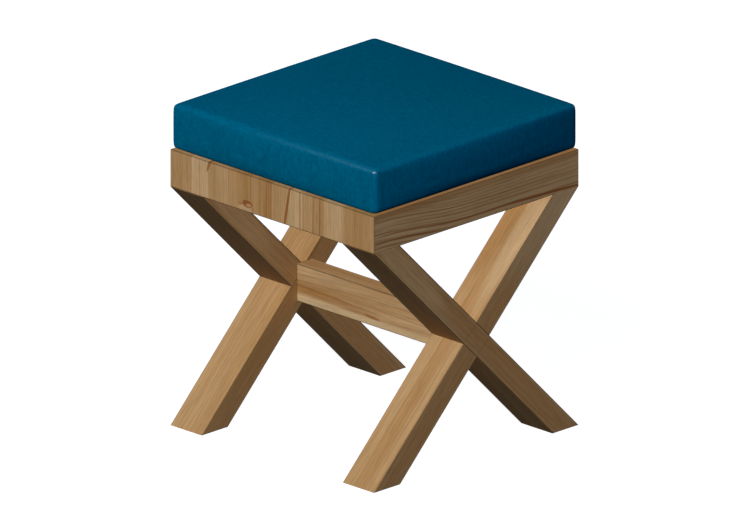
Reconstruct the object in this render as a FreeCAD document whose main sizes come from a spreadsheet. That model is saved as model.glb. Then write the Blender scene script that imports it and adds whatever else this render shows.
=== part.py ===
import FreeCAD, Part
import os
import re
import Sketcher
from FreeCAD import Placement, Rotation, Vector

# A square stool on two X-shaped leg frames, with a loose box cushion.
# Millimetres, +Z up. The origin is on the floor under the middle of the seat.
# X runs along the stretcher, so the leg frames are the right (+X) and left (-X) sides.
# The front is -Y. A leg is named after the corner where its foot stands.

doc = FreeCAD.newDocument("x_frame_stool")
sheet = doc.addObject("Spreadsheet::Sheet", "Sizes")

# Driving dimensions. Each is written once here and reached by its name everywhere else.
driving_dimensions = {
    # seat frame
    "seat_side": 400,             # outside of the mitred frame, and of the cushion
    "rail_height": 55,
    "rail_thickness": 22,
    "edge_ease": 1,               # arris taken off the edges that hands and shins touch
    # legs
    "leg_height": 350,            # floor to the underside of the rails
    "leg_cut": 51,                # level cut at a leg's head and foot, along the side
    "leg_thickness": 63,          # across the side, along X
    # stretcher
    "stretcher_height": 55,
    "stretcher_thickness": 30,
    "stretcher_rise": 4,          # its middle lies this far above the crossing
    # corner blocks, cleats and deck
    "block_height": 40,
    "block_margin": 12,           # the block reaches this far past the leg's head
    "cleat_side": 18,
    "deck_thickness": 12,
    "deck_gap": 0.5,              # between the deck's edge and the rails
    # dowels, all of beech, glued
    "glue_gap": 0.1,              # round a dowel or a screw, and past its end
    "stretcher_dowel_bore": 10,
    "stretcher_dowel_spacing": 20,
    "stretcher_dowel_grip": 35,   # length in the stretcher
    "stretcher_dowel_cover": 18,  # wood left outside the dowel's end in the crossing
    "leg_dowel_bore": 8,
    "leg_dowel_grip": 16,         # length in the leg, and as much in the rail
    "leg_dowel_wall": 4,          # least wood between a dowel and the leg's faces
    # countersunk wood screws with a hexagon socket
    "screw_head_ratio": 1.9,      # head diameter over shank diameter
    "screw_socket_ratio": 0.6,    # socket across its corners over shank diameter
    "leg_screw_bore": 6,
    "leg_screw_spacing": 18,
    "leg_screw_sink": 10,         # the heads lie this deep in the block
    "leg_screw_grip": 28,         # length in the leg
    "block_screw_bore": 4.5,
    "block_screw_grip": 14,       # length in the rail
    "block_screw_inset": 8,       # from the block's inner end face
    "block_screw_low": 13,        # height above the rails' underside
    "block_screw_high": 28,
    "cleat_screw_bore": 4,
    "cleat_screw_grip": 14,       # length in the rail
    "cleat_screw_offset": 85,     # from the middle of the side
    "deck_screw_bore": 4,
    "deck_screw_grip": 15,        # length in the cleat
    "deck_screw_offset": 45,      # from the middle of the side
    # cushion
    "cushion_height": 68,         # at its edges
    "cushion_crown": 12,          # the top swells this much higher in the middle
    "cushion_radius": 10,         # rounded edges, all twelve
    "cover_wall": 2,
    "cover_flange": 30,           # the cover turns in this far under the cushion
    "cover_gap": 0.3,             # between the foam and the cover
    "panel_gap": 0.2,             # between the underside panel and the cover's flange
    # hook and loop tape between deck and cushion
    "tape_length": 250,
    "tape_width": 25,
    "tape_thickness": 1.4,
    "tape_offset": 100,           # from the middle of the seat
}
for row, (alias, value) in enumerate(driving_dimensions.items(), 1):
    sheet.set(f"A{row}", alias)
    sheet.set(f"B{row}", str(value))
    sheet.setAlias(f"B{row}", alias)
doc.recompute()


# Binding, sketches and solids used by several pieces

def formula(words):
    """An expression in dimension names, with each name pointed at the sheet."""
    return re.sub(r"\b[a-z]+(?:_[a-z]+)+\b", lambda name: "Sizes." + name.group(0), words)


def bind(piece, **expressions):
    """Tie properties of a piece to the sheet. A double underscore stands for a dot."""
    for name, words in expressions.items():
        piece.setExpression(name.replace("__", "."), formula(words))
    return piece


def put(piece, x, y, z, facing=Vector(0, 0, 1)):
    """Place a piece by three expressions, with its own Z axis turned to face a direction."""
    piece.Placement = Placement(Vector(), Rotation(Vector(0, 0, 1), facing))
    return bind(piece, Placement__Base__x=x, Placement__Base__y=y, Placement__Base__z=z)


def box(name, sizes, x, y, z):
    """A block: its three sizes and its lowest corner."""
    block = bind(doc.addObject("Part::Box", name), Length=sizes[0], Width=sizes[1], Height=sizes[2])
    return put(block, x, y, z)


def sheet_value(words):
    """The number that an expression gives now, for a sketch to start from."""
    return float(sheet.evalExpression(words))


def plane(body, role):
    """One of a body's own origin planes."""
    return next(feature for feature in body.Origin.OriginFeatures if feature.Role == role)


def outline(body, name, role, corners):
    """A closed sketch of straight lines whose corners are pairs of expressions."""
    sketch = body.newObject("Sketcher::SketchObject", name)
    sketch.AttachmentSupport = (plane(body, role), [""])
    sketch.MapMode = "FlatFace"
    places = [[sheet_value(words) for words in corner] for corner in corners]
    points = [Vector(across, up, 0) for across, up in places]
    for start, end in zip(points, points[1:] + points[:1]):
        sketch.addGeometry(Part.LineSegment(start, end), False)
    for line in range(len(points)):
        following = (line + 1) % len(points)
        sketch.addConstraint(Sketcher.Constraint("Coincident", line, 2, following, 1))
    for line, corner in enumerate(corners):
        for kind, words, value in zip(("DistanceX", "DistanceY"), corner, places[line]):
            index = sketch.addConstraint(Sketcher.Constraint(kind, -1, 1, line, 1, value))
            label = f"{kind}_{line}"
            sketch.renameConstraint(index, label)
            sketch.setExpression(f"Constraints.{label}", formula(words))
    return sketch


def pad(body, sketch, length):
    """A body's first solid, raised from its sketch."""
    solid = body.newObject("PartDesign::Pad", body.Name + "_pad")
    solid.Profile = sketch
    bind(solid, Length=length)
    doc.recompute()
    return solid


def dress(body, kind, base, chosen, **sizes):
    """Fillet or chamfer the edges of a feature that pass a test."""
    edges = base.Shape.Edges
    names = [f"Edge{number}" for number, edge in enumerate(edges, 1) if chosen(edge)]
    dressing = body.newObject(f"PartDesign::{kind}", f"{body.Name}_{kind.lower()}")
    dressing.Base = (base, names)
    bind(dressing, **sizes)
    doc.recompute()
    return dressing


def cut(name, base, tools):
    """Take one or more tools from a base, and give the result the piece's name."""
    tool = tools[0]
    if len(tools) > 1:
        tool = doc.addObject("Part::MultiFuse", name + "_tools")
        tool.Shapes = tools
    result = doc.addObject("Part::Cut", name)
    result.Base = base
    result.Tool = tool
    return result


def mirror(name, source, normal):
    """The twin of one piece across a plane through the middle of the stool."""
    twin = doc.addObject("Part::Mirroring", name)
    twin.Source = source
    twin.Normal = normal
    return twin


across_x = Vector(1, 0, 0)
across_y = Vector(0, 1, 0)


def group(name, members):
    """Separate solids that share one node."""
    gathered = doc.addObject("Part::Compound", name)
    gathered.Links = members
    return gathered


# Places that several pieces share

half_side = "(seat_side / 2)"
rail_inner = "(seat_side / 2 - rail_thickness)"
side_inner = "(seat_side / 2 - leg_thickness)"
block_end = "(seat_side / 2 - leg_cut - block_margin)"
rail_top = "(leg_height + rail_height)"
deck_bottom = "(leg_height + block_height)"
deck_top = "(leg_height + block_height + deck_thickness)"
crossing = "(leg_height / 2)"
lean = "((seat_side - leg_cut) / leg_height)"


# Fasteners. Each comes with the hole that it sits in, a glue gap larger all round.

def dowel(name, diameter, length, x, y, z, facing):
    """A glued peg that starts at a place and runs the way it faces."""
    peg = bind(doc.addObject("Part::Cylinder", name), Radius=f"{diameter} / 2", Height=length)
    hole = doc.addObject("Part::Cylinder", name + "_hole")
    bind(hole, Radius=f"{diameter} / 2 + glue_gap", Height=f"{length} + 2 * glue_gap")
    back = [f" - {facing[axis]:g} * glue_gap" for axis in range(3)]
    put(peg, x, y, z, facing)
    put(hole, x + back[0], y + back[1], z + back[2], facing)
    return peg, hole


def screw(name, diameter, length, x, y, z, facing, sink="0"):
    """A countersunk screw whose head is flush with a place and faces out from it."""
    shapes = []
    for gap, label in (("0", name), ("glue_gap", name + "_hole")):
        shank = doc.addObject("Part::Cylinder", label + "_shank")
        bind(shank, Radius=f"{diameter} / 2 + {gap}", Height=f"{length} + {gap}")
        bind(shank, Placement__Base__z=f"-({length} + {gap})")
        head = doc.addObject("Part::Cone", label + "_head")
        head_height = f"{diameter} * (screw_head_ratio - 1) / 2"
        bind(head, Radius1=f"{diameter} / 2 + {gap}", Height=head_height)
        bind(head, Radius2=f"{diameter} * screw_head_ratio / 2 + {gap}")
        bind(head, Placement__Base__z=f"-{head_height}")
        fused = doc.addObject("Part::MultiFuse", label + "_solid")
        fused.Shapes = [shank, head]
        shapes.append(fused)
    fastener, hole = shapes
    socket = doc.addObject("Part::Prism", name + "_socket")
    socket.Polygon = 6
    bind(socket, Circumradius=f"{diameter} * screw_socket_ratio / 2", Height=f"{diameter} / 2")
    bind(socket, Placement__Base__z=f"-{diameter} / 2")
    fastener = cut(name, fastener, [socket])
    if sink != "0":
        well = doc.addObject("Part::Cylinder", name + "_well")
        bind(well, Radius=f"{diameter} * screw_head_ratio / 2 + glue_gap", Height=sink)
        sunk = doc.addObject("Part::MultiFuse", name + "_sunk_hole")
        sunk.Shapes = [hole, well]
        hole = sunk
    put(fastener, x, y, z, facing)
    put(hole, x, y, z, facing)
    return fastener, hole


# Fasteners of the front right corner

up = Vector(0, 0, 1)
to_left = Vector(-1, 0, 0)
to_back = Vector(0, 1, 0)
block_middle = f"({half_side} - (leg_thickness + rail_thickness) / 2)"

# Two dowels stand in the leg's head under the side rail. The outer one clears the leg's
# slanting underside at its lower end, and the inner one clears the end of the level cut.
dowel_clear = "leg_dowel_bore / 2 + leg_dowel_wall"
dowel_places = [
    f"-{half_side} + leg_dowel_grip * {lean} + {dowel_clear}",
    f"-{half_side} + leg_cut - ({dowel_clear})",
]
corner_dowels = []
for number, y in enumerate(dowel_places, 1):
    x = f"{half_side} - rail_thickness / 2"
    z = "leg_height - leg_dowel_grip"
    corner_dowels.append(dowel(f"leg_dowel_{number}", "leg_dowel_bore", "2 * leg_dowel_grip", x, y, z, up))

# Two screws go down through the corner block, midway in the wood that the leg has there.
corner_leg_screws = []
for number, side in enumerate(("+", "-"), 1):
    x = f"{block_middle} {side} leg_screw_spacing / 2"
    y = f"-{half_side} + (leg_cut + leg_screw_grip * {lean}) / 2"
    z = f"{deck_bottom} - leg_screw_sink"
    length = "(block_height - leg_screw_sink + leg_screw_grip)"
    corner_leg_screws.append(
        screw(f"leg_screw_{number}", "leg_screw_bore", length, x, y, z, up, "leg_screw_sink"))

# One screw holds the block to the side rail and one to the front rail.
block_to_side = screw(
    "block_screw_side", "block_screw_bore", "(leg_thickness - rail_thickness + block_screw_grip)",
    side_inner, f"-({block_end} + block_screw_inset)", "leg_height + block_screw_high", to_left)
block_to_front = screw(
    "block_screw_front", "block_screw_bore", "(leg_cut + block_margin - rail_thickness + block_screw_grip)",
    block_middle, f"-{block_end}", "leg_height + block_screw_low", to_back)

# Fasteners of the cleats, for the right half of the front and the back half of the right side

cleat_middle = f"({rail_inner} - cleat_side / 2)"
cleat_height = f"{deck_bottom} - cleat_side / 2"
cleat_length = "(cleat_side + cleat_screw_grip)"
cleat_face = f"({rail_inner} - cleat_side)"
front_cleat_screw = screw(
    "front_cleat_screw", "cleat_screw_bore", cleat_length,
    "cleat_screw_offset", f"-{cleat_face}", cleat_height, to_back)
right_cleat_screw = screw(
    "right_cleat_screw", "cleat_screw_bore", cleat_length,
    cleat_face, "cleat_screw_offset", cleat_height, to_left)

deck_screw_length = "(deck_thickness + deck_screw_grip)"
front_deck_screw = screw(
    "front_deck_screw", "deck_screw_bore", deck_screw_length,
    "deck_screw_offset", f"-{cleat_middle}", deck_top, up)
right_deck_screw = screw(
    "right_deck_screw", "deck_screw_bore", deck_screw_length,
    cleat_middle, "deck_screw_offset", deck_top, up)

# Dowels of the stretcher's right end, one above the other in the crossing
stretcher_dowels = []
for number, side in enumerate(("+", "-"), 1):
    z = f"{crossing} {side} stretcher_dowel_spacing / 2"
    length = "(stretcher_dowel_grip + leg_thickness - stretcher_dowel_cover)"
    stretcher_dowels.append(dowel(
        f"stretcher_dowel_{number}", "stretcher_dowel_bore", length,
        f"{side_inner} - stretcher_dowel_grip", "0", z, across_x))


# Repeats about the middle of the stool

def mirrored(pieces, normal):
    """The twins of some pieces on the other side of the middle."""
    suffix = "_x" if normal.x else "_y"
    return [mirror(piece.Name + suffix, piece, normal) for piece in pieces]


def both(pieces, normal):
    """Some pieces and their twins."""
    return pieces + mirrored(pieces, normal)


def at_four_corners(pieces):
    return both(both(pieces, across_x), across_y)


def on_four_sides(front, right):
    """One piece on the front and one on the right side, each repeated at both ends and opposite."""
    return at_four_corners([front]) + at_four_corners([right])


# Seat frame: four boards, mitred at the corners

def rail_blank(name, turn):
    """A mitred board with its outside face and corners eased, turned to its side of the frame."""
    body = doc.addObject("PartDesign::Body", name + "_blank")
    corners = [
        (f"-({half_side} - edge_ease)", f"-{half_side}"),
        (f"{half_side} - edge_ease", f"-{half_side}"),
        (f"{half_side} - edge_ease / 2", f"-({half_side} - edge_ease / 2)"),
        (rail_inner, f"-{rail_inner}"),
        (f"-{rail_inner}", f"-{rail_inner}"),
        (f"-({half_side} - edge_ease / 2)", f"-({half_side} - edge_ease / 2)"),
    ]
    board = pad(body, outline(body, name + "_outline", "XY_Plane", corners), "rail_height")
    middle_of_board = -sheet_value(f"{half_side} - rail_thickness / 2")
    board_length = sheet_value(f"2 * {rail_inner}")

    def outer_edge(edge):
        return edge.BoundBox.XLength > board_length and edge.BoundBox.YMax < middle_of_board

    dress(body, "Chamfer", board, outer_edge, Size="edge_ease")
    body.Placement = Placement(Vector(), Rotation(Vector(0, 0, 1), turn))
    return bind(body, Placement__Base__z="leg_height")


front_tools = both([block_to_front[1], front_cleat_screw[1]], across_x)
right_tools = both([block_to_side[1], right_cleat_screw[1]] + [hole for peg, hole in corner_dowels], across_y)
front_rail = cut("front_rail", rail_blank("front_rail", 0), front_tools)
right_rail = cut("right_rail", rail_blank("right_rail", 90), right_tools)
back_rail = mirror("back_rail", front_rail, across_y)
left_rail = mirror("left_rail", right_rail, across_x)


# Legs: each pair crosses in a half lap, and the leg with the back foot runs through outside

def leg_corners(rise):
    """A slanting leg seen from the side. Rise is + for a foot at the back, - for the front."""
    opposite = "-" if rise == "+" else "+"
    return [
        (f"{opposite}{half_side}", "leg_height"),
        (f"{opposite}({half_side} - leg_cut)", "leg_height"),
        (f"{rise}{half_side}", "0"),
        (f"{rise}({half_side} - leg_cut)", "0"),
    ]


def leg_blank(name, rise, outer_notch):
    """A leg with eased long edges and half of its thickness cut away at the crossing."""
    body = doc.addObject("PartDesign::Body", name + "_blank")
    stick = pad(body, outline(body, name + "_outline", "YZ_Plane", leg_corners(rise)), "leg_thickness")

    def long_edge(edge):
        return edge.BoundBox.ZLength > edge.BoundBox.XLength and edge.BoundBox.YLength > edge.BoundBox.XLength

    eased = dress(body, "Chamfer", stick, long_edge, Size="edge_ease")
    other = "-" if rise == "+" else "+"
    lap = outline(body, name + "_lap", "YZ_Plane", leg_corners(other))
    notch = body.newObject("PartDesign::Pocket", name + "_notch")
    notch.Profile = lap
    bind(notch, Length="leg_thickness / 2")
    if outer_notch:
        bind(lap, AttachmentOffset__Base__z="leg_thickness")
    else:
        notch.Reversed = True
    doc.recompute()
    if notch.Shape.Volume >= eased.Shape.Volume:
        raise RuntimeError(f"the lap of {name} cuts nothing")
    return bind(body, Placement__Base__x=side_inner)


crossing_holes = [hole for peg, hole in stretcher_dowels]
head_holes = [hole for piece, hole in corner_dowels + corner_leg_screws]
right_back_leg = cut("right_back_leg", leg_blank("right_back_leg", "+", False), head_holes + crossing_holes)
right_front_leg = cut(
    "right_front_leg", leg_blank("right_front_leg", "-", True), mirrored(head_holes, across_y) + crossing_holes)
left_back_leg = mirror("left_back_leg", right_back_leg, across_x)
left_front_leg = mirror("left_front_leg", right_front_leg, across_x)

# Stretcher: one board on edge between the two crossings

stretcher_blank = doc.addObject("PartDesign::Body", "stretcher_blank")
stretcher_low = f"({crossing} + stretcher_rise - stretcher_height / 2)"
stretcher_high = f"({crossing} + stretcher_rise + stretcher_height / 2)"
stretcher_corners = [
    ("-stretcher_thickness / 2", stretcher_low),
    ("stretcher_thickness / 2", stretcher_low),
    ("stretcher_thickness / 2", stretcher_high),
    ("-stretcher_thickness / 2", stretcher_high),
]
stretcher_section = outline(stretcher_blank, "stretcher_section", "YZ_Plane", stretcher_corners)
stretcher_board = pad(stretcher_blank, stretcher_section, f"2 * {side_inner}")
dress(
    stretcher_blank, "Chamfer", stretcher_board,
    lambda edge: edge.BoundBox.XLength > edge.BoundBox.YLength + edge.BoundBox.ZLength, Size="edge_ease")
bind(stretcher_blank, Placement__Base__x=f"-{side_inner}")
stretcher = cut("stretcher", stretcher_blank, both(crossing_holes, across_x))

# Corner blocks: glued and screwed into the corners of the frame, over the legs' heads

block_sizes = ("leg_thickness - rail_thickness", "leg_cut + block_margin - rail_thickness", "block_height")
block_blank = box("corner_block_blank", block_sizes, side_inner, f"-{rail_inner}", "leg_height")
block_holes = [block_to_side[1], block_to_front[1]] + [hole for piece, hole in corner_leg_screws]
block_front_right = cut("corner_block_front_right", block_blank, block_holes)
block_front_left = mirror("corner_block_front_left", block_front_right, across_x)
block_back_right = mirror("corner_block_back_right", block_front_right, across_y)
block_back_left = mirror("corner_block_back_left", block_front_left, across_y)

# Cleats: battens on the rails between the blocks, which carry the deck

front_cleat_blank = box(
    "front_cleat_blank", (f"2 * {side_inner}", "cleat_side", "cleat_side"),
    f"-{side_inner}", f"-{rail_inner}", f"{deck_bottom} - cleat_side")
right_cleat_blank = box(
    "right_cleat_blank", ("cleat_side", f"2 * {block_end}", "cleat_side"),
    cleat_face, f"-{block_end}", f"{deck_bottom} - cleat_side")
front_cleat_tools = both([front_cleat_screw[1], front_deck_screw[1]], across_x)
right_cleat_tools = both([right_cleat_screw[1], right_deck_screw[1]], across_y)
front_cleat = cut("front_cleat", front_cleat_blank, front_cleat_tools)
right_cleat = cut("right_cleat", right_cleat_blank, right_cleat_tools)
back_cleat = mirror("back_cleat", front_cleat, across_y)
left_cleat = mirror("left_cleat", right_cleat, across_x)

# Deck: a plywood panel inside the frame, just below the rails' top

deck_half = f"({rail_inner} - deck_gap)"
deck_blank = box(
    "seat_deck_blank", (f"2 * {deck_half}", f"2 * {deck_half}", "deck_thickness"),
    f"-{deck_half}", f"-{deck_half}", deck_bottom)
seat_deck = cut("seat_deck", deck_blank, on_four_sides(front_deck_screw[1], right_deck_screw[1]))

# Fasteners gathered by kind

leg_dowels = group("leg_dowels", at_four_corners([peg for peg, hole in corner_dowels]))
leg_screws = group("leg_screws", at_four_corners([piece for piece, hole in corner_leg_screws]))
corner_block_screws = group("corner_block_screws", at_four_corners([block_to_side[0], block_to_front[0]]))
all_stretcher_dowels = group("stretcher_dowels", both([peg for peg, hole in stretcher_dowels], across_x))
cleat_screws = group("cleat_screws", on_four_sides(front_cleat_screw[0], right_cleat_screw[0]))
deck_screws = group("deck_screws", on_four_sides(front_deck_screw[0], right_deck_screw[0]))

# Hook tape on the deck and loop tape under the cushion, one strip each side of the middle


def tape_strip(name, z):
    sizes = ("tape_length", "tape_width", "tape_thickness")
    return box(name, sizes, "-tape_length / 2", "tape_offset - tape_width / 2", z)


hook_strips = group("hook_strips", both([tape_strip("hook_strip", deck_top)], across_y))
loop_strips = group("loop_strips", both([tape_strip("loop_strip", f"{rail_top} - tape_thickness")], across_y))

# Cushion: foam in a fitted cover, whose turned-in flange is closed by a panel underneath


def rounded_block(name, inset, radius):
    """A square block inside the cushion's outside, with all its edges rounded."""
    body = doc.addObject("PartDesign::Body", name)
    half = f"({half_side} - {inset})"
    corners = [(f"-{half}", f"-{half}"), (half, f"-{half}"), (half, half), (f"-{half}", half)]
    square = outline(body, name + "_outline", "XY_Plane", corners)
    block = pad(body, square, f"cushion_height - 2 * {inset}")
    return dress(body, "Fillet", block, lambda edge: True, Radius=radius)


# The crown's profile from edge to edge is (1 - t^2)^2, level where it starts. A curve of degree 4
# has that shape when only its middle pole is raised, to 8/3 of the crown. In a patch the two
# directions multiply.
crown_degree = 4
crown_pole_rise = (8 / 3) ** 2


def crowned_block(name, inset, radius):
    """A rounded block whose flat top is swapped for one that swells to the crown in the middle."""
    rounded = rounded_block(name + "_rounded", inset, radius).Shape
    flat_top = max(rounded.Faces, key=lambda face: face.CenterOfMass.z)
    reach = sheet_value(f"{half_side} - {inset} - ({radius})")
    steps = [reach * (2 * step / crown_degree - 1) for step in range(crown_degree + 1)]
    level = flat_top.CenterOfMass.z
    poles = [[Vector(x, y, level) for y in steps] for x in steps]
    poles[crown_degree // 2][crown_degree // 2].z += crown_pole_rise * sheet_value("cushion_crown")
    swell = Part.BSplineSurface()
    ends = [crown_degree + 1] * 2
    swell.buildFromPolesMultsKnots(poles, ends, ends, [0, 1], [0, 1], False, False, crown_degree, crown_degree)
    other_faces = [face for face in rounded.Faces if not face.isSame(flat_top)]
    crowned = doc.addObject("Part::Feature", name)
    crowned.Shape = Part.Solid(Part.Shell(other_faces + [swell.toShape()]))
    return bind(crowned, Placement__Base__z=f"{rail_top} + {inset}")


cover_outside = crowned_block("cover_outside", "0", "cushion_radius")
cover_inside = crowned_block("cover_inside", "cover_wall", "cushion_radius - cover_wall")
foam_inset = "(cover_wall + cover_gap)"
foam_core = crowned_block("foam_core", foam_inset, f"cushion_radius - {foam_inset}")
mouth_half = f"({half_side} - cover_flange)"
cover_mouth = box(
    "cover_mouth", (f"2 * {mouth_half}", f"2 * {mouth_half}", "cover_wall"),
    f"-{mouth_half}", f"-{mouth_half}", rail_top)
cushion_cover = cut("cushion_cover", cover_outside, [cover_inside, cover_mouth])
panel_half = f"({mouth_half} - panel_gap)"
cushion_underside = box(
    "cushion_underside", (f"2 * {panel_half}", f"2 * {panel_half}", "cover_wall"),
    f"-{panel_half}", f"-{panel_half}", rail_top)

# Every piece of the stool, each written under its label

pieces = [
    front_rail, back_rail, left_rail, right_rail,
    right_back_leg, right_front_leg, left_back_leg, left_front_leg,
    stretcher, all_stretcher_dowels, leg_dowels, leg_screws,
    block_front_right, block_front_left, block_back_right, block_back_left, corner_block_screws,
    front_cleat, back_cleat, left_cleat, right_cleat, cleat_screws,
    seat_deck, deck_screws, hook_strips,
    loop_strips, foam_core, cushion_cover, cushion_underside,
]
doc.recompute()
for feature in doc.Objects:
    if "Invalid" in feature.State or "Error" in feature.State:
        raise RuntimeError(f"{feature.Label} failed: {feature.State}")
for piece in pieces:
    if piece.Shape.isNull() or not piece.Shape.isValid() or not piece.Shape.Solids:
        raise RuntimeError(f"{piece.Label} has no valid solid")

os.makedirs("parts", exist_ok=True)
for piece in pieces:
    piece.Shape.exportStep(f"parts/{piece.Label}.step")
    print(f"{piece.Label}: {len(piece.Shape.Solids)} solid(s), {piece.Shape.Volume / 1000:.1f} cm3")
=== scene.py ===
import math

import bpy
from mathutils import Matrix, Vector


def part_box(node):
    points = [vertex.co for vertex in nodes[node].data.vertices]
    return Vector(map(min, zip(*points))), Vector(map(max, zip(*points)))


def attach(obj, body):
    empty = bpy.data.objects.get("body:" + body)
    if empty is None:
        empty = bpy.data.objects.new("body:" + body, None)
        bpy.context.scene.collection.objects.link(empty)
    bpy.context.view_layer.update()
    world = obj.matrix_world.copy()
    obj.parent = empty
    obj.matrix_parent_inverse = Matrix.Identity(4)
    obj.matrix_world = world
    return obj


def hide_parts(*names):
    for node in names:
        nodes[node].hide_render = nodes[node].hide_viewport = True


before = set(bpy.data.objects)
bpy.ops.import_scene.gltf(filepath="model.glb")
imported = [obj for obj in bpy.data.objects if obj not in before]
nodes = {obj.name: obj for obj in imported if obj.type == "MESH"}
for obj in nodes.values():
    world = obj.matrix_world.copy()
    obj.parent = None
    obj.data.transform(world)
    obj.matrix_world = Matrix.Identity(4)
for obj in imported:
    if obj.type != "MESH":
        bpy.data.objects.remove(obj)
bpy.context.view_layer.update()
bpy.ops.object.select_all(action="DESELECT")


# Seat frame: four pine boards, mitred and glued into a square.
# They are planed and oiled, so the grain shows warm, and the oil has sunk in and left no gloss.
# In the photo the front board's grain stands upright, as in a panel glued up from staves.

def linear(code):
    """An sRGB hex colour as linear RGBA."""
    parts = [int(code[place:place + 2], 16) / 255 for place in (1, 3, 5)]
    return [part / 12.92 if part <= 0.04045 else ((part + 0.055) / 1.055) ** 2.4 for part in parts] + [1]


def new_material(name):
    """A node material with nothing but its shader and output."""
    material = bpy.data.materials.new(name)
    material.use_nodes = True
    return material, material.node_tree.nodes["Principled BSDF"]


def set_inputs(material, node, inputs):
    """Set each input of a node to a value, or link it from another node's output."""
    for name, value in inputs.items():
        if isinstance(value, bpy.types.NodeSocket):
            material.node_tree.links.new(value, node.inputs[name])
        else:
            node.inputs[name].default_value = value


def add_node(material, kind, inputs, **settings):
    """Add one node with its settings and inputs, and return its outputs.

    A MapRange turns the range from input 1 to 2 into the range from 3 to 4. A Mix takes its share as
    input 0, vectors as 4 and 5 and colours as 6 and 7. It gives vectors as output 1 and colours as 2.
    """
    node = material.node_tree.nodes.new("ShaderNode" + kind)
    for name, value in settings.items():
        setattr(node, name, value)
    set_inputs(material, node, inputs)
    return node.outputs


def streaks(material, place, width, stretch, detail, roughness=0.5):
    """Uneven streaks of a width in metres, drawn out along each axis whose stretch is below 1."""
    drawn_out = add_node(material, "VectorMath", {0: place, 1: stretch}, operation="MULTIPLY")[0]
    return add_node(
        material, "TexNoise",
        {"Vector": drawn_out, "Scale": 1 / width, "Detail": detail, "Roughness": roughness})


def wear(material, *names):
    """Give CAD pieces their finish."""
    for name in names:
        nodes[name].data.materials.clear()
        nodes[name].data.materials.append(material)


mm = 0.001
pine_pale = linear("#BFA077")
pine_honey = linear("#9D7647")
pine_late_wood = linear("#834E26")
fibre_width = 1.6 * mm
fleck_width = 2.2 * mm
figure_width = 5 * mm
band_width = 26 * mm
bend_size = 70 * mm
bend_depth = 9 * mm
waver_depth = 6 * mm
arris_width = 1.3 * mm
arris_shade = 0.45
right_through = 1000


def year_rings(material, log, ring, contrast):
    """Late wood at the end of each year's ring: alike in every year, and then weaker in some years."""
    across = add_node(material, "VectorMath", {0: log, 1: (1, 1, 0)}, operation="MULTIPLY")[0]
    radius = add_node(material, "VectorMath", {0: across}, operation="LENGTH")["Value"]
    uneven = add_node(
        material, "TexNoise", {"W": radius, "Scale": 1 / (2.3 * ring), "Detail": 1}, noise_dimensions="1D")[0]
    years = add_node(material, "Math", {0: radius, 1: 1 / ring, 2: uneven}, operation="MULTIPLY_ADD")[0]
    season = add_node(material, "Math", {0: years}, operation="FRACT")[0]
    summer = add_node(
        material, "MapRange", {"Value": season, 1: 0.6, 2: 0.9}, interpolation_type="SMOOTHSTEP")[0]
    winter = add_node(material, "MapRange", {"Value": season, 1: 0.92, 2: 1.0, 3: 1.0, 4: 0.0})[0]
    late = add_node(material, "Math", {0: summer, 1: winter}, operation="MULTIPLY")[0]
    year = add_node(material, "Math", {0: years}, operation="FLOOR")[0]
    vigour = add_node(material, "TexWhiteNoise", {"W": year}, noise_dimensions="1D")["Value"]
    weakest = 0.15 * contrast
    strongest = 0.8 * contrast
    strength = add_node(material, "MapRange", {"Value": vigour, 3: weakest, 4: strongest})[0]
    return late, add_node(material, "Math", {0: late, 1: strength}, operation="MULTIPLY")[0]


def on_face(material, parts, way, waver):
    """The place on the faces along X or Y, wavering as grain does."""
    flat = add_node(material, "CombineXYZ", {"X": parts[way], "Z": parts["Z"]})[0]
    return add_node(
        material, "VectorMath", {0: waver, 1: (waver_depth,) * 3, 2: flat}, operation="MULTIPLY_ADD")[0]


def stave_tones(material, face_place, staves):
    """The tone of each stave, in steps along the board."""
    first = staves[0][0] * mm
    last = staves[-1][0] * mm
    along = add_node(material, "SeparateXYZ", {0: face_place})["X"]
    share = add_node(material, "MapRange", {"Value": along, 1: first, 2: last})[0]
    tone = add_node(material, "ValToRGB", {0: share})[0]
    ramp = tone.node.color_ramp
    ramp.interpolation = "CONSTANT"
    ramp.elements.remove(ramp.elements[1])
    for edge_place, stave_tone in staves[:-1]:
        stop = ramp.elements.new((edge_place * mm - first) / (last - first))
        stop.color = (stave_tone, stave_tone, stave_tone, 1)
    ramp.elements.remove(ramp.elements[0])
    return tone


def draw_marks(material, colour, face_place, marks):
    """Long ellipses with soft borders, over a colour and right through the board.

    Each is its centre along the board and above the floor, half length and half width in mm, tilt in
    degrees, colour and depth of colour.
    """
    for along, height, half_length, half_width, tilt, hue, depth in marks:
        centre = (along * mm, 0, height * mm)
        turn = (0, math.radians(tilt), 0)
        size = (half_width * mm, right_through, half_length * mm)
        centred = add_node(
            material, "Mapping", {"Vector": face_place, "Location": centre, "Rotation": turn, "Scale": size},
            vector_type="TEXTURE")[0]
        reach = add_node(material, "VectorMath", {0: centred}, operation="LENGTH")["Value"]
        cover = add_node(material, "MapRange", {"Value": reach, 1: 1.0, 2: 0.7, 3: 0.0, 4: depth})[0]
        colour = add_node(material, "Mix", {0: cover, 6: colour, 7: linear(hue)}, data_type="RGBA")[2]
    return colour


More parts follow.
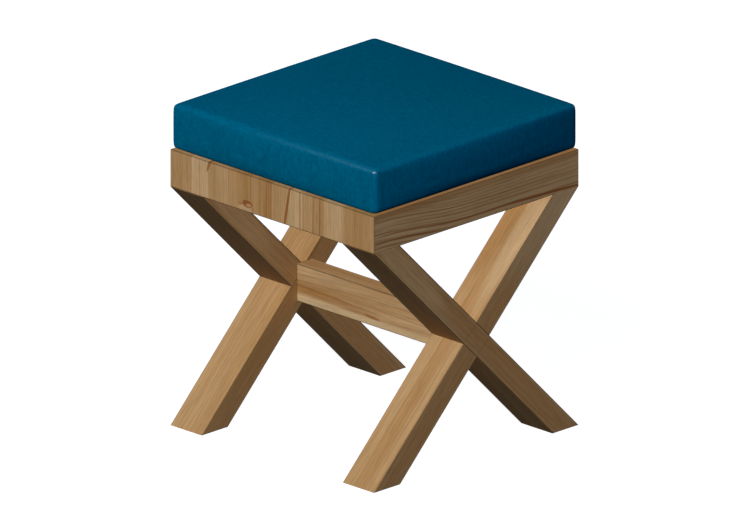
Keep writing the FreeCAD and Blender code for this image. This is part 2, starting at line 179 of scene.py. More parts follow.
def arris_shading(material, place, arrises):
    """A shade that darkens arrises, where oil gathers.

    Each pair of parallel faces is a direction, the middle between them and half their distance in mm.
    """
    touching = 0.0
    for direction, middle, half in arrises:
        along = add_node(material, "VectorMath", {0: place, 1: direction}, operation="DOT_PRODUCT")["Value"]
        along = add_node(material, "Math", {0: along, 1: middle * mm}, operation="SUBTRACT")[0]
        along = add_node(material, "Math", {0: along}, operation="ABSOLUTE")[0]
        near = add_node(material, "Math", {0: along, 1: half * mm, 2: arris_width}, operation="COMPARE")[0]
        touching = add_node(material, "Math", {0: touching, 1: near}, operation="ADD")[0]
    return add_node(material, "MapRange", {"Value": touching, 1: 1.4, 2: 1.6, 3: 1.0, 4: arris_shade})[0]


def pine(name, turn, pith, ring, contrast, tones=(0.0, 1.0), staves=(), marks=(), arrises=(), sweep=()):
    """Oiled pine sawn from a log: the pith passes through a point and runs along the turned Z axis.

    The year rings are drawn in the solid, so boards show lines along their faces and arcs on their
    ends. Late wood ends each year in a thin red-brown line. Fibres and short flecks streak along the
    grain, drawn about twice as wide as real ones so that they show. Marks come with X or Y, the way of
    the faces that they lie on. A sweep is bent grain on a face along Y: where the bend starts and ends,
    its drop, and the year lines that follow it.
    """
    material, shader = new_material(name)
    place = add_node(material, "TexCoord", {})["Object"]
    board = add_node(material, "SeparateXYZ", {0: place})
    grain_place = place
    if sweep:
        start, end, drop, bent_lines = sweep
        dropped = add_node(
            material, "MapRange", {"Value": board["Y"], 1: start * mm, 2: end * mm, 4: drop * mm},
            interpolation_type="SMOOTHSTEP")[0]
        level = add_node(material, "CombineXYZ", {"Z": dropped})[0]
        grain_place = add_node(material, "VectorMath", {0: place, 1: level}, operation="ADD")[0]
    log = add_node(
        material, "Mapping", {"Vector": grain_place, "Location": pith, "Rotation": turn},
        vector_type="TEXTURE")[0]
    bend = streaks(material, log, bend_size, (1, 1, 0.22), 3)["Color"]
    sway = (bend_depth, bend_depth, 0)
    bent = add_node(material, "VectorMath", {0: bend, 1: sway, 2: log}, operation="MULTIPLY_ADD")[0]
    late, line = year_rings(material, bent, ring, contrast)

    band = streaks(material, log, band_width, (1, 1, 0.07), 2)[0]
    tone = add_node(material, "MapRange", {"Value": band, 1: 0.32, 2: 0.68, 3: tones[0], 4: tones[1]})[0]
    waver = add_node(material, "VectorMath", {0: bend, 1: (0.5, 0.5, 0.5)}, operation="SUBTRACT")[0]
    if staves:
        stave_tone = stave_tones(material, on_face(material, board, "X", waver), staves)
        tone = add_node(material, "Math", {0: tone, 1: stave_tone}, operation="ADD")[0]
    early = add_node(material, "Mix", {0: tone, 6: pine_pale, 7: pine_honey}, data_type="RGBA")[2]
    colour = add_node(material, "Mix", {0: line, 6: early, 7: pine_late_wood}, data_type="RGBA")[2]
    for way, face_marks in marks:
        colour = draw_marks(material, colour, on_face(material, board, way, waver), face_marks)
    if sweep:
        bent_board = add_node(material, "SeparateXYZ", {0: grain_place})
        colour = draw_marks(material, colour, on_face(material, bent_board, "Y", waver), bent_lines)

    fibre = streaks(material, log, fibre_width, (1, 1, 0.04), 3, 0.65)[0]
    figure = streaks(material, bent, figure_width, (1, 1, 0.05), 2)[0]
    fleck = streaks(material, log, fleck_width, (1, 1, 0.12), 1)[0]
    grain = add_node(material, "Math", {0: figure, 1: 0.8, 2: fibre}, operation="MULTIPLY_ADD")[0]
    shade = add_node(material, "MapRange", {"Value": grain, 1: 0.6, 2: 1.2, 3: 0.88, 4: 1.13})[0]
    fleck_shade = add_node(material, "MapRange", {"Value": fleck, 1: 0.5, 2: 0.72, 3: 1.02, 4: 0.91})[0]
    for darkening in (fleck_shade, arris_shading(material, place, arrises)):
        shade = add_node(material, "Math", {0: shade, 1: darkening}, operation="MULTIPLY")[0]
    relief = add_node(material, "Math", {0: late, 1: 0.5, 2: fibre}, operation="MULTIPLY_ADD")[0]
    set_inputs(material, shader, {
        "Base Color": add_node(material, "VectorMath", {0: colour, "Scale": shade}, operation="SCALE")[0],
        "Roughness": add_node(material, "MapRange", {"Value": fibre, 1: 0.3, 2: 0.7, 3: 0.66, 4: 0.54})[0],
        "Normal": add_node(material, "Bump", {"Height": relief, "Strength": 0.25, "Distance": 0.15 * mm})[0],
        "Specular IOR Level": 0.0,
    })
    return material


along_x = (0, math.radians(90), 0)
along_y = (math.radians(-90), 0, 0)
upright = (0, 0, 0)

seat_half_side = 200
rail_middle = 377.5
rail_half_height = 27.5
rail_arrises = (
    ((1, 0, 0), 0, seat_half_side),
    ((0, 1, 0), 0, seat_half_side),
    ((0, 0, 1), rail_middle, rail_half_height),
)
resin = "#86532B"
sapwood = "#BFA57D"
knot_ring = "#86522D"
front_staves = (
    # left edge in mm, and tone from pale 0 to honey 1; the last row is the right end
    (-200, 0.5), (-158, 0.0), (-125, 0.4), (-95, 0.55), (-62, 0.62), (-1, 0.45),
    (31, 0.0), (57, 0.5), (84, 0.58), (101, 0.15), (137, 0.45), (200, 0.45),
)
front_marks = (
    # streaks of resin between and across the staves
    (-123, 402, 15, 2.6, 20, resin, 0.8),
    (-12, 377, 60, 1.8, 1, resin, 0.6),
    (-3, 377, 60, 1.4, 0, resin, 0.45),
    (29, 377, 52, 2.6, 10, resin, 0.9),
    (54, 377, 60, 2.0, 0, resin, 0.5),
    (80, 370, 50, 2.0, 2, resin, 0.5),
    (93, 377, 60, 2.2, 0, resin, 0.5),
    # the knot: pale wood that parts round it, bark ring, its own wood, its dark upper side and two spots
    (-52, 354, 7, 16, 0, sapwood, 0.5),
    (-48.5, 362, 6.2, 10.8, 0, knot_ring, 1.0),
    (-46.5, 360.9, 3, 6, 0, "#AC8556", 0.9),
    (-51, 364.6, 2.8, 7.6, 0, knot_ring, 0.9),
    (-62, 360, 3, 4.5, 0, resin, 0.35),
    (-39.5, 355.5, 3.5, 2.6, 0, resin, 0.5),
)
side_marks = (
    # brown heartwood along the upper side and a warm top edge
    (0, 410, 900, 17, 90, "#8C5A22", 0.42),
    (0, 405, 900, 1.4, 90, "#B07434", 0.25),
)
side_lines = (
    # the darkest year lines
    (-165, 357, 50, 1.5, 90, resin, 0.6),
    (-140, 363.5, 90, 1.6, 90, resin, 0.75),
    (-40, 372.6, 200, 1.6, 89.8, resin, 0.75),
    (135, 370, 100, 2.4, 92, resin, 0.95),
    (0, 382.5, 260, 1.2, 90.3, resin, 0.5),
    (-60, 378, 120, 1.0, 90.4, resin, 0.3),
    (40, 388, 240, 1.1, 90, resin, 0.45),
    (-20, 393, 230, 1.0, 90, resin, 0.4),
    (60, 397.5, 220, 1.0, 90, resin, 0.4),
    (30, 402.5, 230, 1.0, 90, resin, 0.35),
    (90, 408, 150, 1.0, 90, resin, 0.35),
    (140, 413, 100, 1.0, 90, resin, 0.3),
)
side_sweep = (-190, -10, 14, side_lines)
back_staves = (
    (-200, 0.1), (-150, 0.55), (-112, 0.3), (-70, 0.0), (-36, 0.6), (8, 0.2), (44, 0.45), (96, 0.0),
    (128, 0.35), (200, 0.35),
)
back_marks = (
    (-112, 377, 60, 1.8, 2, resin, 0.6),
    (20, 380, 48, 2.2, -8, resin, 0.8),
    (97, 377, 60, 1.6, 0, resin, 0.5),
    (140, 370, 50, 2.0, 3, resin, 0.5),
)
# the boards come from different places in their logs: the pith is far from the upright staves
# and close to the side boards
front_pith = (0.62, 0.1, 0.38)
back_pith = (-0.55, 0.3, 0.38)
right_pith = (0.135, 0, 0.335)
left_pith = (-0.12, 0, 0.44)
rails = (
    # node, way of the grain, pith, year ring, contrast, tones, staves, marks and sweep
    ("front_rail", upright, front_pith, 4, 0.45, (0.0, 0.45), front_staves, [("X", front_marks)], ()),
    ("back_rail", upright, back_pith, 4, 0.45, (0.0, 0.45), back_staves, [("X", back_marks)], ()),
    ("right_rail", along_y, right_pith, 4.5, 0.9, (0.0, 0.55), (), [("Y", side_marks)], side_sweep),
    ("left_rail", along_y, left_pith, 4.5, 1.0, (0.2, 0.9), (), (), ()),
)
for rail, turn, pith, ring, contrast, tones, staves, marks, sweep in rails:
    rail_pine = pine(
        "pine_" + rail, turn, pith, ring * mm, contrast, tones, staves, marks, rail_arrises, sweep)
    wear(rail_pine, rail)

# Legs: four pine sticks in two crossed pairs, half lapped and glued where they cross.
# The grain runs along each stick. Head and foot are sawn level, so end grain shows under the feet.
# The leg with the back foot runs through outside, so the lap's joint lines show on it.

leg_lean = math.radians(45)
slant = math.sqrt(0.5)
leg_cut = 51
leg_crossing = 175
leg_centre = 168.5
leg_half_thickness = 31.5
leg_half_cut = leg_cut / 2 * slant
joint_place = leg_cut / 4
joint_line = "#4A2F18"
leg_ring = 5 * mm
leg_contrast = 0.42
leg_tones = (0.55, 0.82)
leg_marks = {
    # pale sapwood down the outer half and heartwood down the inner half near the head, then year lines
    "right_front_leg": (
        (186, 345, 150, 20, 0, "#C0A580", 0.45), (150, 345, 130, 15, 0, "#A0713C", 0.4),
        (153, 150, 120, 9, 0, sapwood, 0.2),
        (168, 110, 70, 0.9, 0, resin, 0.2), (173, 90, 60, 0.8, 0, resin, 0.22),
        (177, 120, 75, 0.9, 0, resin, 0.2), (182, 75, 55, 0.8, 0, resin, 0.2),
    ),
    "left_front_leg": (
        (-172, 120, 90, 0.9, 0, resin, 0.4), (-166, 95, 70, 0.9, 0, resin, 0.4),
        (-160, 130, 80, 0.8, 0, resin, 0.35), (-181, 80, 60, 0.8, 0, resin, 0.35),
    ),
}
back_leg_side_marks = [
    # pale sapwood at the head, then the two joint lines
    (-130, 305, 110, 17, 135, "#BE9C72", 0.4),
    (joint_place, leg_crossing - joint_place, 22, 0.6, 45, joint_line, 0.4),
    (-joint_place, leg_crossing + joint_place, 22, 0.6, 45, joint_line, 0.4),
]
for side, outward in (("right", 1), ("left", -1)):
    for end, way in (("front", -1), ("back", 1)):
        leg = f"{side}_{end}_leg"
        # the pith lies far outside, so the year rings are almost straight lines
        leg_pith = (outward * 0.45 + 0.013, way * 0.2, 0.375)
        leg_arrises = (
            ((1, 0, 0), outward * leg_centre, leg_half_thickness),
            ((0, way * slant, slant), leg_crossing * slant, leg_half_cut),
        )
        # warm heartwood down the side faces of every leg
        leg_side_marks = [(way * 60, 115, 230, 17, 90 + way * 45, "#A87948", 0.42)]
        if end == "back":
            leg_side_marks += back_leg_side_marks
        marks = [("X", leg_marks.get(leg, ())), ("Y", leg_side_marks)]
        leg_pine = pine(
            "pine_" + leg, (way * leg_lean, 0, 0), leg_pith, leg_ring, leg_contrast, leg_tones,
            marks=marks, arrises=leg_arrises)
        wear(leg_pine, leg)

# Stretcher: one pine board on edge, dowelled into both crossings.
# It is flat sawn, with pointed year rings on its face.

stretcher_half_length = 137
stretcher_half_thickness = 15
stretcher_middle = 179
stretcher_half_height = 27.5
stretcher_arrises = (
    ((1, 0, 0), 0, stretcher_half_length),
    ((0, 1, 0), 0, stretcher_half_thickness),
    ((0, 0, 1), stretcher_middle, stretcher_half_height),
)
stretcher_marks = (
    # sapwood along the bottom, then a band of heartwood that ends in a point
    (0, 153, 500, 10, 90, sapwood, 0.7),
    (-60, 167.5, 88, 7, 92.2, "#99693A", 0.45),
    (-70, 173, 120, 1.6, 92.2, resin, 0.45),
    (10, 163, 18, 2.2, 94, resin, 0.7),
    (70, 176, 80, 1.4, 91, resin, 0.35),
)
stretcher_turn = (0, math.radians(88), 0)
stretcher_pith = (0, 0.05, 0.15)
stretcher_pine = pine(
    "pine_stretcher", stretcher_turn, stretcher_pith, 4.5 * mm, 0.4, (0.3, 0.95),
    marks=[("X", stretcher_marks)], arrises=stretcher_arrises)
wear(stretcher_pine, "stretcher")

# Corner blocks and cleats: pine offcuts, glued and screwed inside the seat frame.
# The blocks stiffen the mitres and hold the legs' screws, and the cleats carry the deck.
# They stay plain planed, with the grain upright in the blocks and lengthwise in the cleats.

block_pith = (0.05, 0.02, 0)
across_pith = (0, 0.1, 0.32)
along_pith = (0.1, 0, 0.32)
blocks = [f"corner_block_{end}_{side}" for end in ("front", "back") for side in ("right", "left")]
wear(pine("pine_corner_blocks", upright, block_pith, 5 * mm, 0.7), *blocks)
wear(pine("pine_cleats_across", along_x, across_pith, 4 * mm, 0.7), "front_cleat", "back_cleat")
wear(pine("pine_cleats_along", along_y, along_pith, 4 * mm, 0.7), "right_cleat", "left_cleat")

# Dowels: turned beech pegs, glued into the legs, rails and stretcher, where they stay hidden.
# Beech shows small dark flecks on a pinkish, even ground.

beech_fleck_size = 1.5 * mm
beech, beech_shader = new_material("beech_dowel")
beech_place = add_node(beech, "TexCoord", {})["Object"]
beech_fleck = add_node(
    beech, "TexNoise", {"Vector": beech_place, "Scale": 1 / beech_fleck_size, "Detail": 3})[0]
beech_share = add_node(beech, "MapRange", {"Value": beech_fleck, 1: 0.4, 2: 0.65})[0]
set_inputs(beech, beech_shader, {
    "Base Color": add_node(
        beech, "Mix", {0: beech_share, 6: linear("#CBA77C"), 7: linear("#A97C50")}, data_type="RGBA")[2],
    "Roughness": add_node(beech, "MapRange", {"Value": beech_share, 3: 0.55, 4: 0.7})[0],
    "Normal": add_node(beech, "Bump", {"Height": beech_fleck, "Strength": 0.3, "Distance": 0.1 * mm})[0],
})
wear(beech, "leg_dowels", "stretcher_dowels")

# Screws: countersunk wood screws of steel wire, headed, rolled and zinc plated, with a hexagon socket.
# The plating is bright and a little cloudy, so the heads show as small pale silver discs.

zinc_cloud_size = 1.5 * mm
zinc, zinc_shader = new_material("zinc_plated_steel")
zinc_place = add_node(zinc, "TexCoord", {})["Object"]
zinc_cloud = add_node(
    zinc, "TexNoise", {"Vector": zinc_place, "Scale": 1 / zinc_cloud_size, "Detail": 2})[0]
set_inputs(zinc, zinc_shader, {
    "Base Color": add_node(
        zinc, "Mix", {0: zinc_cloud, 6: linear("#CBCDCB"), 7: linear("#A9ACAF")}, data_type="RGBA")[2],
    "Roughness": add_node(zinc, "MapRange", {"Value": zinc_cloud, 3: 0.22, 4: 0.42})[0],
    "Metallic": 1.0,
})
wear(zinc, "leg_screws", "corner_block_screws", "cleat_screws", "deck_screws")

# Deck: a birch plywood panel, glued up crosswise from nine plies, sanded, and screwed to the cleats.
# Its faces have a pale, broad, cloudy figure, and its edges show the plies as light and dark lines.

deck_thickness = 12 * mm
plies = 9
ply_thickness = deck_thickness / plies
ply_figure_width = 14 * mm
plywood, plywood_shader = new_material("birch_plywood")
ply_place = add_node(plywood, "TexCoord", {})["Object"]
ply_long = add_node(plywood, "VectorMath", {0: ply_place, 1: (0.06, 1, 1)}, operation="MULTIPLY")[0]
ply_figure = add_node(
    plywood, "TexNoise",
    {"Vector": ply_long, "Scale": 1 / ply_figure_width, "Detail": 4, "Distortion": 1.2})[0]
ply_share = add_node(plywood, "MapRange", {"Value": ply_figure, 1: 0.3, 2: 0.7})[0]
ply_face = add_node(
    plywood, "Mix", {0: ply_share, 6: linear("#D8BD94"), 7: linear("#BE9B6E")}, data_type="RGBA")[2]
ply_height = add_node(plywood, "SeparateXYZ", {0: ply_place})["Z"]
ply_pair = add_node(plywood, "Math", {0: ply_height, 1: 2 * ply_thickness}, operation="MODULO")[0]
ply_cross = add_node(plywood, "Math", {0: ply_pair, 1: ply_thickness}, operation="GREATER_THAN")[0]
ply_normal = add_node(plywood, "NewGeometry", {})["Normal"]
ply_upward = add_node(plywood, "SeparateXYZ", {0: ply_normal})["Z"]
ply_level = add_node(plywood, "Math", {0: ply_upward}, operation="ABSOLUTE")[0]
ply_edge = add_node(plywood, "MapRange", {"Value": ply_level, 1: 0.7, 2: 0.3})[0]
ply_dark = add_node(plywood, "Math", {0: ply_cross, 1: ply_edge}, operation="MULTIPLY")[0]
set_inputs(plywood, plywood_shader, {
    "Base Color": add_node(
        plywood, "Mix", {0: ply_dark, 6: ply_face, 7: linear("#8A6540")}, data_type="RGBA")[2],
    "Roughness": add_node(plywood, "MapRange", {"Value": ply_figure, 3: 0.55, 4: 0.72})[0],
    "Normal": add_node(plywood, "Bump", {"Height": ply_figure, "Strength": 0.15, "Distance": 0.1 * mm})[0],
    "Specular IOR Level": 0.2,
})
wear(plywood, "seat_deck")

# Tape: woven nylon strips. The hooks are stuck on the deck, and the loops are sewn under the cushion.
# Hooks stand in neat rows and glint a little; loops are brushed into a dull fleece.

tape_pitch = 1.6 * mm
for name, looseness, relief in (("hook_tape", 0.1, 0.8), ("loop_tape", 1.0, 0.5)):
    tape, tape_shader = new_material("nylon_" + name)
    tape_place = add_node(tape, "TexCoord", {})["Object"]
    tape_tuft = add_node(
        tape, "TexVoronoi", {"Vector": tape_place, "Scale": 1 / tape_pitch, "Randomness": looseness})[0]
    set_inputs(tape, tape_shader, {
        "Base Color": add_node(
            tape, "Mix", {0: tape_tuft, 6: linear("#3A3B3F"), 7: linear("#141518")}, data_type="RGBA")[2],
        "Roughness": add_node(tape, "MapRange", {"Value": tape_tuft, 3: 0.5, 4: 0.85})[0],
        "Normal": add_node(
            tape, "Bump", {"Height": tape_tuft, "Strength": relief, "Distance": 0.6 * mm}, invert=True)[0],
        "Specular IOR Level": 0.15,
    })
    wear(tape, name.replace("tape", "strips"))

# Foam core: a cut block of open-cell polyurethane foam that fills the cover and stays hidden in it.
# The cut cells give it a fine pitted, dull, cream-coloured face.

foam_cell_size = 1.2 * mm
foam, foam_shader = new_material("polyurethane_foam")
foam_place = add_node(foam, "TexCoord", {})["Object"]
foam_cells = add_node(foam, "TexVoronoi", {"Vector": foam_place, "Scale": 1 / foam_cell_size})[0]
set_inputs(foam, foam_shader, {
    "Base Color": add_node(
        foam, "Mix", {0: foam_cells, 6: linear("#DACB9E"), 7: linear("#B79F66")}, data_type="RGBA")[2],
    "Normal": add_node(foam, "Bump", {"Height": foam_cells, "Strength": 0.6, "Distance": 0.5 * mm})[0],
    "Roughness": 0.95,
    "Specular IOR Level": 0.0,
})
wear(foam, "foam_core")

# Cushion: a fitted cover of teal linen, tight over the foam, with rounded edges and a low crown.
# Air pressure in a cloth simulation swells its faces between the edges, which stay straight.
# It is drawn a little inside the CAD cover, where its outline follows the photo best.

cushion_low, cushion_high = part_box("cushion_cover")
cover_ease = 0.9 * mm
edge_radius = 7 * mm
edge_segments = 8
cushion_crown = 12 * mm
side_swell = 4.6 * mm
least_swell = 0.85
voxel = 4.5 * mm
air_pressure = 4
simulated_frames = 20
half_side = cushion_high.x - cover_ease
edge_height = cushion_high.z - cushion_crown - cover_ease
middle_height = (cushion_low.z + edge_height) / 2
half_height = (edge_height - cushion_low.z) / 2

bpy.ops.mesh.primitive_cube_add(
    size=2, location=(0, 0, middle_height), scale=(half_side, half_side, half_height))
cushion = bpy.context.object
cushion.name = "cushion"
bpy.ops.object.transform_apply(location=True, rotation=True, scale=True)
bpy.ops.object.mode_set(mode="EDIT")
bpy.ops.mesh.select_all(action="SELECT")
bpy.ops.mesh.bevel(offset=edge_radius, segments=edge_segments, profile=0.5, affect="EDGES")
bpy.ops.object.mode_set(mode="OBJECT")
remesh = cushion.modifiers.new("even_mesh", "REMESH")
remesh.mode = "VOXEL"
remesh.voxel_size = voxel
bpy.ops.object.modifier_apply(modifier=remesh.name)

flat_form = [vertex.co.copy() for vertex in cushion.data.vertices]
flat_normals = [vertex.normal.copy() for vertex in cushion.data.vertices]
underside_limit = cushion_low.z + voxel / 2
resting = cushion.vertex_groups.new(name="resting")
lowest = [vertex.index for vertex in cushion.data.vertices if vertex.co.z < underside_limit]
resting.add(lowest, 1.0, "REPLACE")
cloth = cushion.modifiers.new("cover", "CLOTH")
cloth.settings.use_pressure = True
cloth.settings.uniform_pressure_force = air_pressure
cloth.settings.effector_weights.gravity = 0
cloth.settings.vertex_group_mass = resting.name
for step in range(simulated_frames):
    bpy.context.scene.frame_set(step + 1)
bpy.ops.object.modifier_apply(modifier=cloth.name)
bpy.context.scene.frame_set(1)


def swell_limit(point):
    """How far the cover may swell at a point: most in the middle of a face, nothing at its edges."""
    across = max(0, 1 - (point.x / half_side) ** 2)
    along = max(0, 1 - (point.y / half_side) ** 2)
    high = max(0, 1 - ((point.z - middle_height) / half_height) ** 2)
    top = cushion_crown * across * along if point.z > middle_height else 0
    return max(top, side_swell * high * max(across, along))


panel_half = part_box("cushion_underside")[1].x
panel_recess = 1.2 * mm
for vertex, flat, normal in zip(cushion.data.vertices, flat_form, flat_normals):
    limit = swell_limit(flat)
    outward = (vertex.co - flat).dot(normal)
    vertex.co = flat + normal * min(limit, max(least_swell * limit, outward))
    if flat.z < underside_limit and max(abs(flat.x), abs(flat.y)) < panel_half:
        vertex.co.z += panel_recess
smooth = cushion.modifiers.new("finer", "SUBSURF")
smooth.levels = 1
smooth.render_levels = 1
bpy.ops.object.modifier_apply(modifier=smooth.name)
bpy.ops.object.shade_smooth()

# The cloth is a tight plain weave of uneven linen yarn, dyed in the piece: dull, deep teal, with threads
# that show as fine upright streaks. Its corners are shiny, and a paler painted highlight runs along its upper
# front edge. Painted shade darkens it towards the back, makes its sides deeper and bluer, most at the back,
# and makes its front face a little darker.
# The threads are drawn 1.7 mm wide, about four times the real ones, so that they show.
thread_width = 1.7 * mm
slub_length = 5 * mm
# painted shade: the colour is multiplied by the first at the front and by the second at the back
painted_shade_front = 1.01
painted_shade_back = 0.85
# painted shade: what the colour of the sides, at their front and back, and of the front face is
# multiplied by, as red, green and blue
painted_side_shade_front = (1, 1, 1.08)
painted_side_shade_back = (1, 0.75, 0.91)
painted_front_face_shade = (1, 0.94, 0.95)
# painted highlight: where it starts and where it is full along X, and its depth
painted_highlight_start = -60 * mm
painted_highlight_end = 150 * mm
painted_highlight_depth = 0.042
linen, linen_shader = new_material("teal_linen")
linen_coordinates = add_node(linen, "TexCoord", {})
linen_place = linen_coordinates["Object"]
linen_parts = add_node(linen, "SeparateXYZ", {0: linen_place})
warp = streaks(linen, linen_place, thread_width, (1, 1, 0.05), 2)[0]
weft = streaks(linen, linen_place, thread_width, (0.15, 0.6, 1), 2)[0]
slub = add_node(linen, "TexNoise", {"Vector": linen_place, "Scale": 1 / slub_length, "Detail": 2})[0]
weave = add_node(linen, "Math", {0: weft, 1: 0.45, 2: warp}, operation="MULTIPLY_ADD")[0]
weave = add_node(linen, "Math", {0: slub, 1: 0.9, 2: weave}, operation="MULTIPLY_ADD")[0]
weave_tone = add_node(linen, "MapRange", {"Value": weave, 1: 0.9, 2: 1.45})[0]

# which way the cloth faces: signed along each axis, and how squarely
facing = add_node(linen, "SeparateXYZ", {0: linen_coordinates["Normal"]})
squarely = add_node(linen, "VectorMath", {0: linen_coordinates["Normal"]}, operation="ABSOLUTE")[0]
squarely = add_node(linen, "SeparateXYZ", {0: squarely})
upper = add_node(linen, "MapRange", {"Value": facing["Z"], 1: 0.12, 2: 0.4})[0]

# the dye, with painted shade: darker towards the back, deeper and bluer on the sides, darker on the front
# face
backward = add_node(linen, "MapRange", {"Value": linen_parts["Y"], 1: -half_side, 2: half_side})[0]
# painted shade, darker from the front to the back
painted_shade_along = add_node(linen, "MapRange", {
    "Value": linen_parts["Y"], 1: -half_side, 2: half_side, 3: painted_shade_front, 4: painted_shade_back})[0]
dye_and_painted_shade = add_node(
    linen, "Mix", {0: weave_tone, 6: linear("#00506C"), 7: linear("#00617E")}, data_type="RGBA")[2]
dye_and_painted_shade = add_node(linen, "VectorMath", {0: dye_and_painted_shade, "Scale": painted_shade_along}, operation="SCALE")[0]
# painted shade: the front face a little darker, and the sides deeper and bluer, most at the back
frontal = add_node(linen, "MapRange", {"Value": facing["Y"], 1: -0.5, 2: -0.95})[0]
painted_front_shade = add_node(linen, "Mix", {0: frontal, 4: (1, 1, 1), 5: painted_front_face_shade}, data_type="VECTOR")[1]
sideways = add_node(linen, "MapRange", {"Value": squarely["X"], 1: 0.5, 2: 0.95})[0]
painted_face_shade = add_node(linen, "Mix", {0: backward, 4: painted_side_shade_front, 5: painted_side_shade_back}, data_type="VECTOR")[1]
painted_face_shade = add_node(linen, "Mix", {0: sideways, 4: painted_front_shade, 5: painted_face_shade}, data_type="VECTOR")[1]
dye_and_painted_shade = add_node(linen, "VectorMath", {0: dye_and_painted_shade, 1: painted_face_shade}, operation="MULTIPLY")[0]

# a painted highlight, paler along the upper front edge and more towards the right corner
flatness = add_node(linen, "Math", {0: squarely["X"], 1: squarely["Y"]}, operation="MAXIMUM")[0]
flatness = add_node(linen, "Math", {0: flatness, 1: squarely["Z"]}, operation="MAXIMUM")[0]
rounded = add_node(linen, "MapRange", {"Value": flatness, 1: 0.97, 2: 0.84})[0]
in_front = add_node(linen, "MapRange", {"Value": facing["Y"], 1: -0.3, 2: -0.55})[0]
near_corner = add_node(
    linen, "MapRange", {"Value": linen_parts["X"], 1: painted_highlight_start, 2: painted_highlight_end, 4: painted_highlight_depth})[0]
painted_highlight = add_node(linen, "MapRange", {"Value": weave_tone, 3: 0.5})[0]
for share in (rounded, upper, in_front, near_corner):
    painted_highlight = add_node(linen, "Math", {0: painted_highlight, 1: share}, operation="MULTIPLY")[0]

# the shiny upper corners
corner = add_node(linen, "Math", {0: squarely["X"], 1: squarely["Y"]}, operation="MINIMUM")[0]
corner = add_node(linen, "Math", {0: corner, 1: squarely["Z"]}, operation="MINIMUM")[0]
corner = add_node(linen, "MapRange", {"Value": corner, 1: 0.3, 2: 0.45})[0]
# the colour carries the painted highlight in pale grey teal, and the coat shines at the corners
set_inputs(linen, linen_shader, {
    "Base Color": add_node(linen, "Mix", {0: painted_highlight, 6: dye_and_painted_shade, 7: linear("#9DBEB6")}, data_type="RGBA")[2],
    "Normal": add_node(linen, "Bump", {"Height": weave, "Strength": 0.2, "Distance": 0.3 * mm})[0],
    "Coat Weight": add_node(linen, "Math", {0: corner, 1: upper}, operation="MULTIPLY")[0],
    "Coat Roughness": 0.4,
    "Coat IOR": 1.65,
    "Roughness": 0.8,
    "Specular IOR Level": 0.0,
})
cushion.data.materials.clear()
cushion.data.materials.append(linen)
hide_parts("cushion_cover")
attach(cushion, "cushion")

# Underside panel: black non-woven lining, cut with a hot knife and sewn into the cover all round.
# It closes the cover below and carries the loop tape. A sewn line runs along its border.

sewn_line = 6 * mm
sewn_width = 1.2 * mm
sewn_depth = 0.3 * mm
lining_thickness = 0.6 * mm
bpy.ops.object.select_all(action="DESELECT")
bpy.ops.mesh.primitive_plane_add(size=2 * panel_half, location=(0, 0, cushion_low.z))
panel = bpy.context.object
panel.name = "lining_panel"
bpy.ops.object.transform_apply(location=True, rotation=True, scale=True)
bpy.ops.object.mode_set(mode="EDIT")
bpy.ops.mesh.select_all(action="SELECT")
bpy.ops.mesh.flip_normals()
bpy.ops.mesh.inset(thickness=sewn_line)
bpy.ops.mesh.inset(thickness=sewn_width, depth=-sewn_depth)
bpy.ops.mesh.inset(thickness=sewn_width, depth=sewn_depth)
bpy.ops.object.mode_set(mode="OBJECT")
thicken = panel.modifiers.new("cloth_thickness", "SOLIDIFY")
thicken.thickness = lining_thickness
bpy.ops.object.modifier_apply(modifier=thicken.name)

# Non-woven lining is bonded in rows of small dots, which show as a fine dimpled, matt black.
# The dots are drawn at 3 mm, about twice their real pitch, so that they show.
dot_pitch = 3 * mm
dot_rows = math.radians(45)
felt_size = 2 * mm
lining, lining_shader = new_material("lining_cloth")
lining_place = add_node(lining, "TexCoord", {})["Object"]
lining_turned = add_node(lining, "Mapping", {"Vector": lining_place, "Rotation": (0, 0, dot_rows)})[0]
lining_dots = add_node(
    lining, "TexVoronoi", {"Vector": lining_turned, "Scale": 1 / dot_pitch, "Randomness": 0})[0]
lining_felt = add_node(
    lining, "TexNoise", {"Vector": lining_place, "Scale": 1 / felt_size, "Detail": 4})[0]
lining_relief = add_node(
    lining, "Math", {0: lining_felt, 1: 0.5, 2: lining_dots}, operation="MULTIPLY_ADD")[0]
set_inputs(lining, lining_shader, {
    "Base Color": add_node(
        lining, "Mix", {0: lining_relief, 6: linear("#17181B"), 7: linear("#303237")}, data_type="RGBA")[2],
    "Normal": add_node(lining, "Bump", {"Height": lining_relief, "Strength": 0.4, "Distance": 0.4 * mm})[0],
    "Roughness": 0.9,
    "Specular IOR Level": 0.1,
})
panel.data.materials.append(lining)
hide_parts("cushion_underside")
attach(panel, "cushion")

# Stage: a pale floor in a white surrounding, which the camera sees as white, while both throw only a little
# bluish light on the object. Two lamps shine from the front and above, and one level from behind.
# The floor is clear from below, so that the underside can be looked at.

def seen_directly(material):
    """1 for what the camera sees, also mirrored in metal or through glass, and 0 for light on the object."""
    rays = add_node(material, "LightPath", {})
    seen = add_node(
        material, "Math", {0: rays["Is Camera Ray"], 1: rays["Is Glossy Ray"]}, operation="MAXIMUM")[0]
    return add_node(material, "Math", {0: seen, 1: rays["Is Transmission Ray"]}, operation="MAXIMUM")[0]


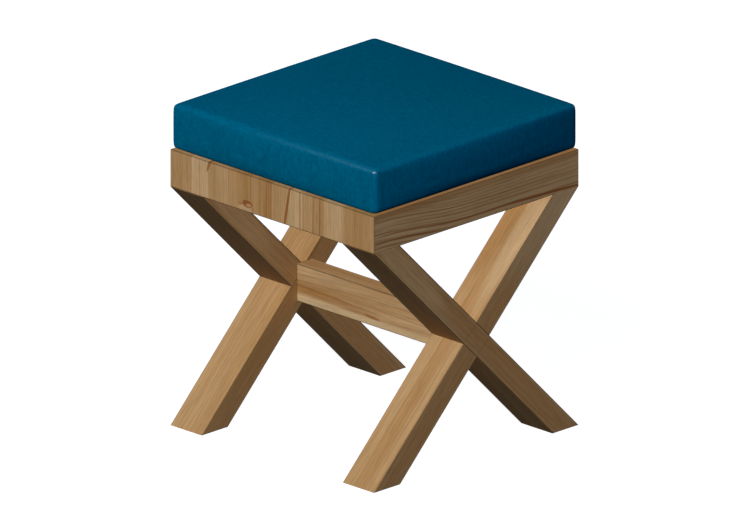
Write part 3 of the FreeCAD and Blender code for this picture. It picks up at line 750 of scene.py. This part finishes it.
floor_side = 12
floor_gap = 0.5 * mm
floor_pale = linear("#F4F4F4")
floor_reflected = linear("#273445")
floor_glow = 0.43
bpy.ops.mesh.primitive_plane_add(size=floor_side, location=(0, 0, -floor_gap))
floor = bpy.context.object
floor.name = "floor"
pale_floor, floor_shader = new_material("pale_floor")
floor_seen = seen_directly(pale_floor)
set_inputs(pale_floor, floor_shader, {
    "Base Color": add_node(
        pale_floor, "Mix", {0: floor_seen, 6: floor_reflected, 7: floor_pale}, data_type="RGBA")[2],
    "Emission Strength": add_node(pale_floor, "MapRange", {"Value": floor_seen, 3: 0.0, 4: floor_glow})[0],
    "Emission Color": linear("#FFFFFF"),
    "Roughness": 1.0,
    "Specular IOR Level": 0.0,
})
underneath = add_node(pale_floor, "NewGeometry", {})["Backfacing"]
clear = add_node(pale_floor, "BsdfTransparent", {})[0]
floor_surface = add_node(
    pale_floor, "MixShader", {0: underneath, 1: floor_shader.outputs[0], 2: clear})[0]
set_inputs(pale_floor, pale_floor.node_tree.nodes["Material Output"], {"Surface": floor_surface})
floor.data.materials.append(pale_floor)

surrounding_white = linear("#FFFFFF")
surrounding_light = linear("#122D57")
world = bpy.data.worlds.new("white_surrounding")
bpy.context.scene.world = world
world.use_nodes = True
sky_colour = add_node(
    world, "Mix", {0: seen_directly(world), 6: surrounding_light, 7: surrounding_white}, data_type="RGBA")[2]
set_inputs(world, world.node_tree.nodes["Background"], {"Color": sky_colour})


def lamp(name, stands, brightness, softness, shadow):
    """A distant lamp: the direction that it stands in, and its brightness on a surface that faces it."""
    light = bpy.data.lights.new(name, "SUN")
    light.energy = brightness * math.pi
    light.angle = math.radians(softness)
    light.use_shadow = shadow
    holder = bpy.data.objects.new(name, light)
    bpy.context.scene.collection.objects.link(holder)
    holder.rotation_euler = Vector(stands).to_track_quat("Z", "Y").to_euler()


front_and_above = (0.294, -0.728, 0.619)
level_behind = (-0.7, 0.7, -0.02)
lamp("even_light", front_and_above, 0.96, 4, False)
lamp("soft_light", front_and_above, 0.15, 25, True)
lamp("rear_light", level_behind, 0.7, 6, False)

# Camera: a straight parallel view, 45 degrees round and 19.5 degrees above the floor, as in the photo.
# It aims at the middle of the picture, and one pixel is 1.38 mm.

picture_width = 750
mm_in_pixel = 1.38294
camera_height = math.asin(1 / 3)
camera_turn = math.radians(45)
camera_distance = 3
aim = Vector((0.0005, 0.0005, 0.2369))
away = Vector((
    math.cos(camera_height) * math.sin(camera_turn),
    -math.cos(camera_height) * math.cos(camera_turn),
    math.sin(camera_height)))
lens = bpy.data.cameras.new("camera")
lens.type = "ORTHO"
lens.ortho_scale = picture_width * mm_in_pixel * mm
camera = bpy.data.objects.new("camera", lens)
bpy.context.scene.collection.objects.link(camera)
camera.location = aim + away * camera_distance
camera.rotation_euler = away.to_track_quat("Z", "Y").to_euler()
bpy.context.scene.camera = camera
bpy.context.scene.view_settings.view_transform = "Standard"
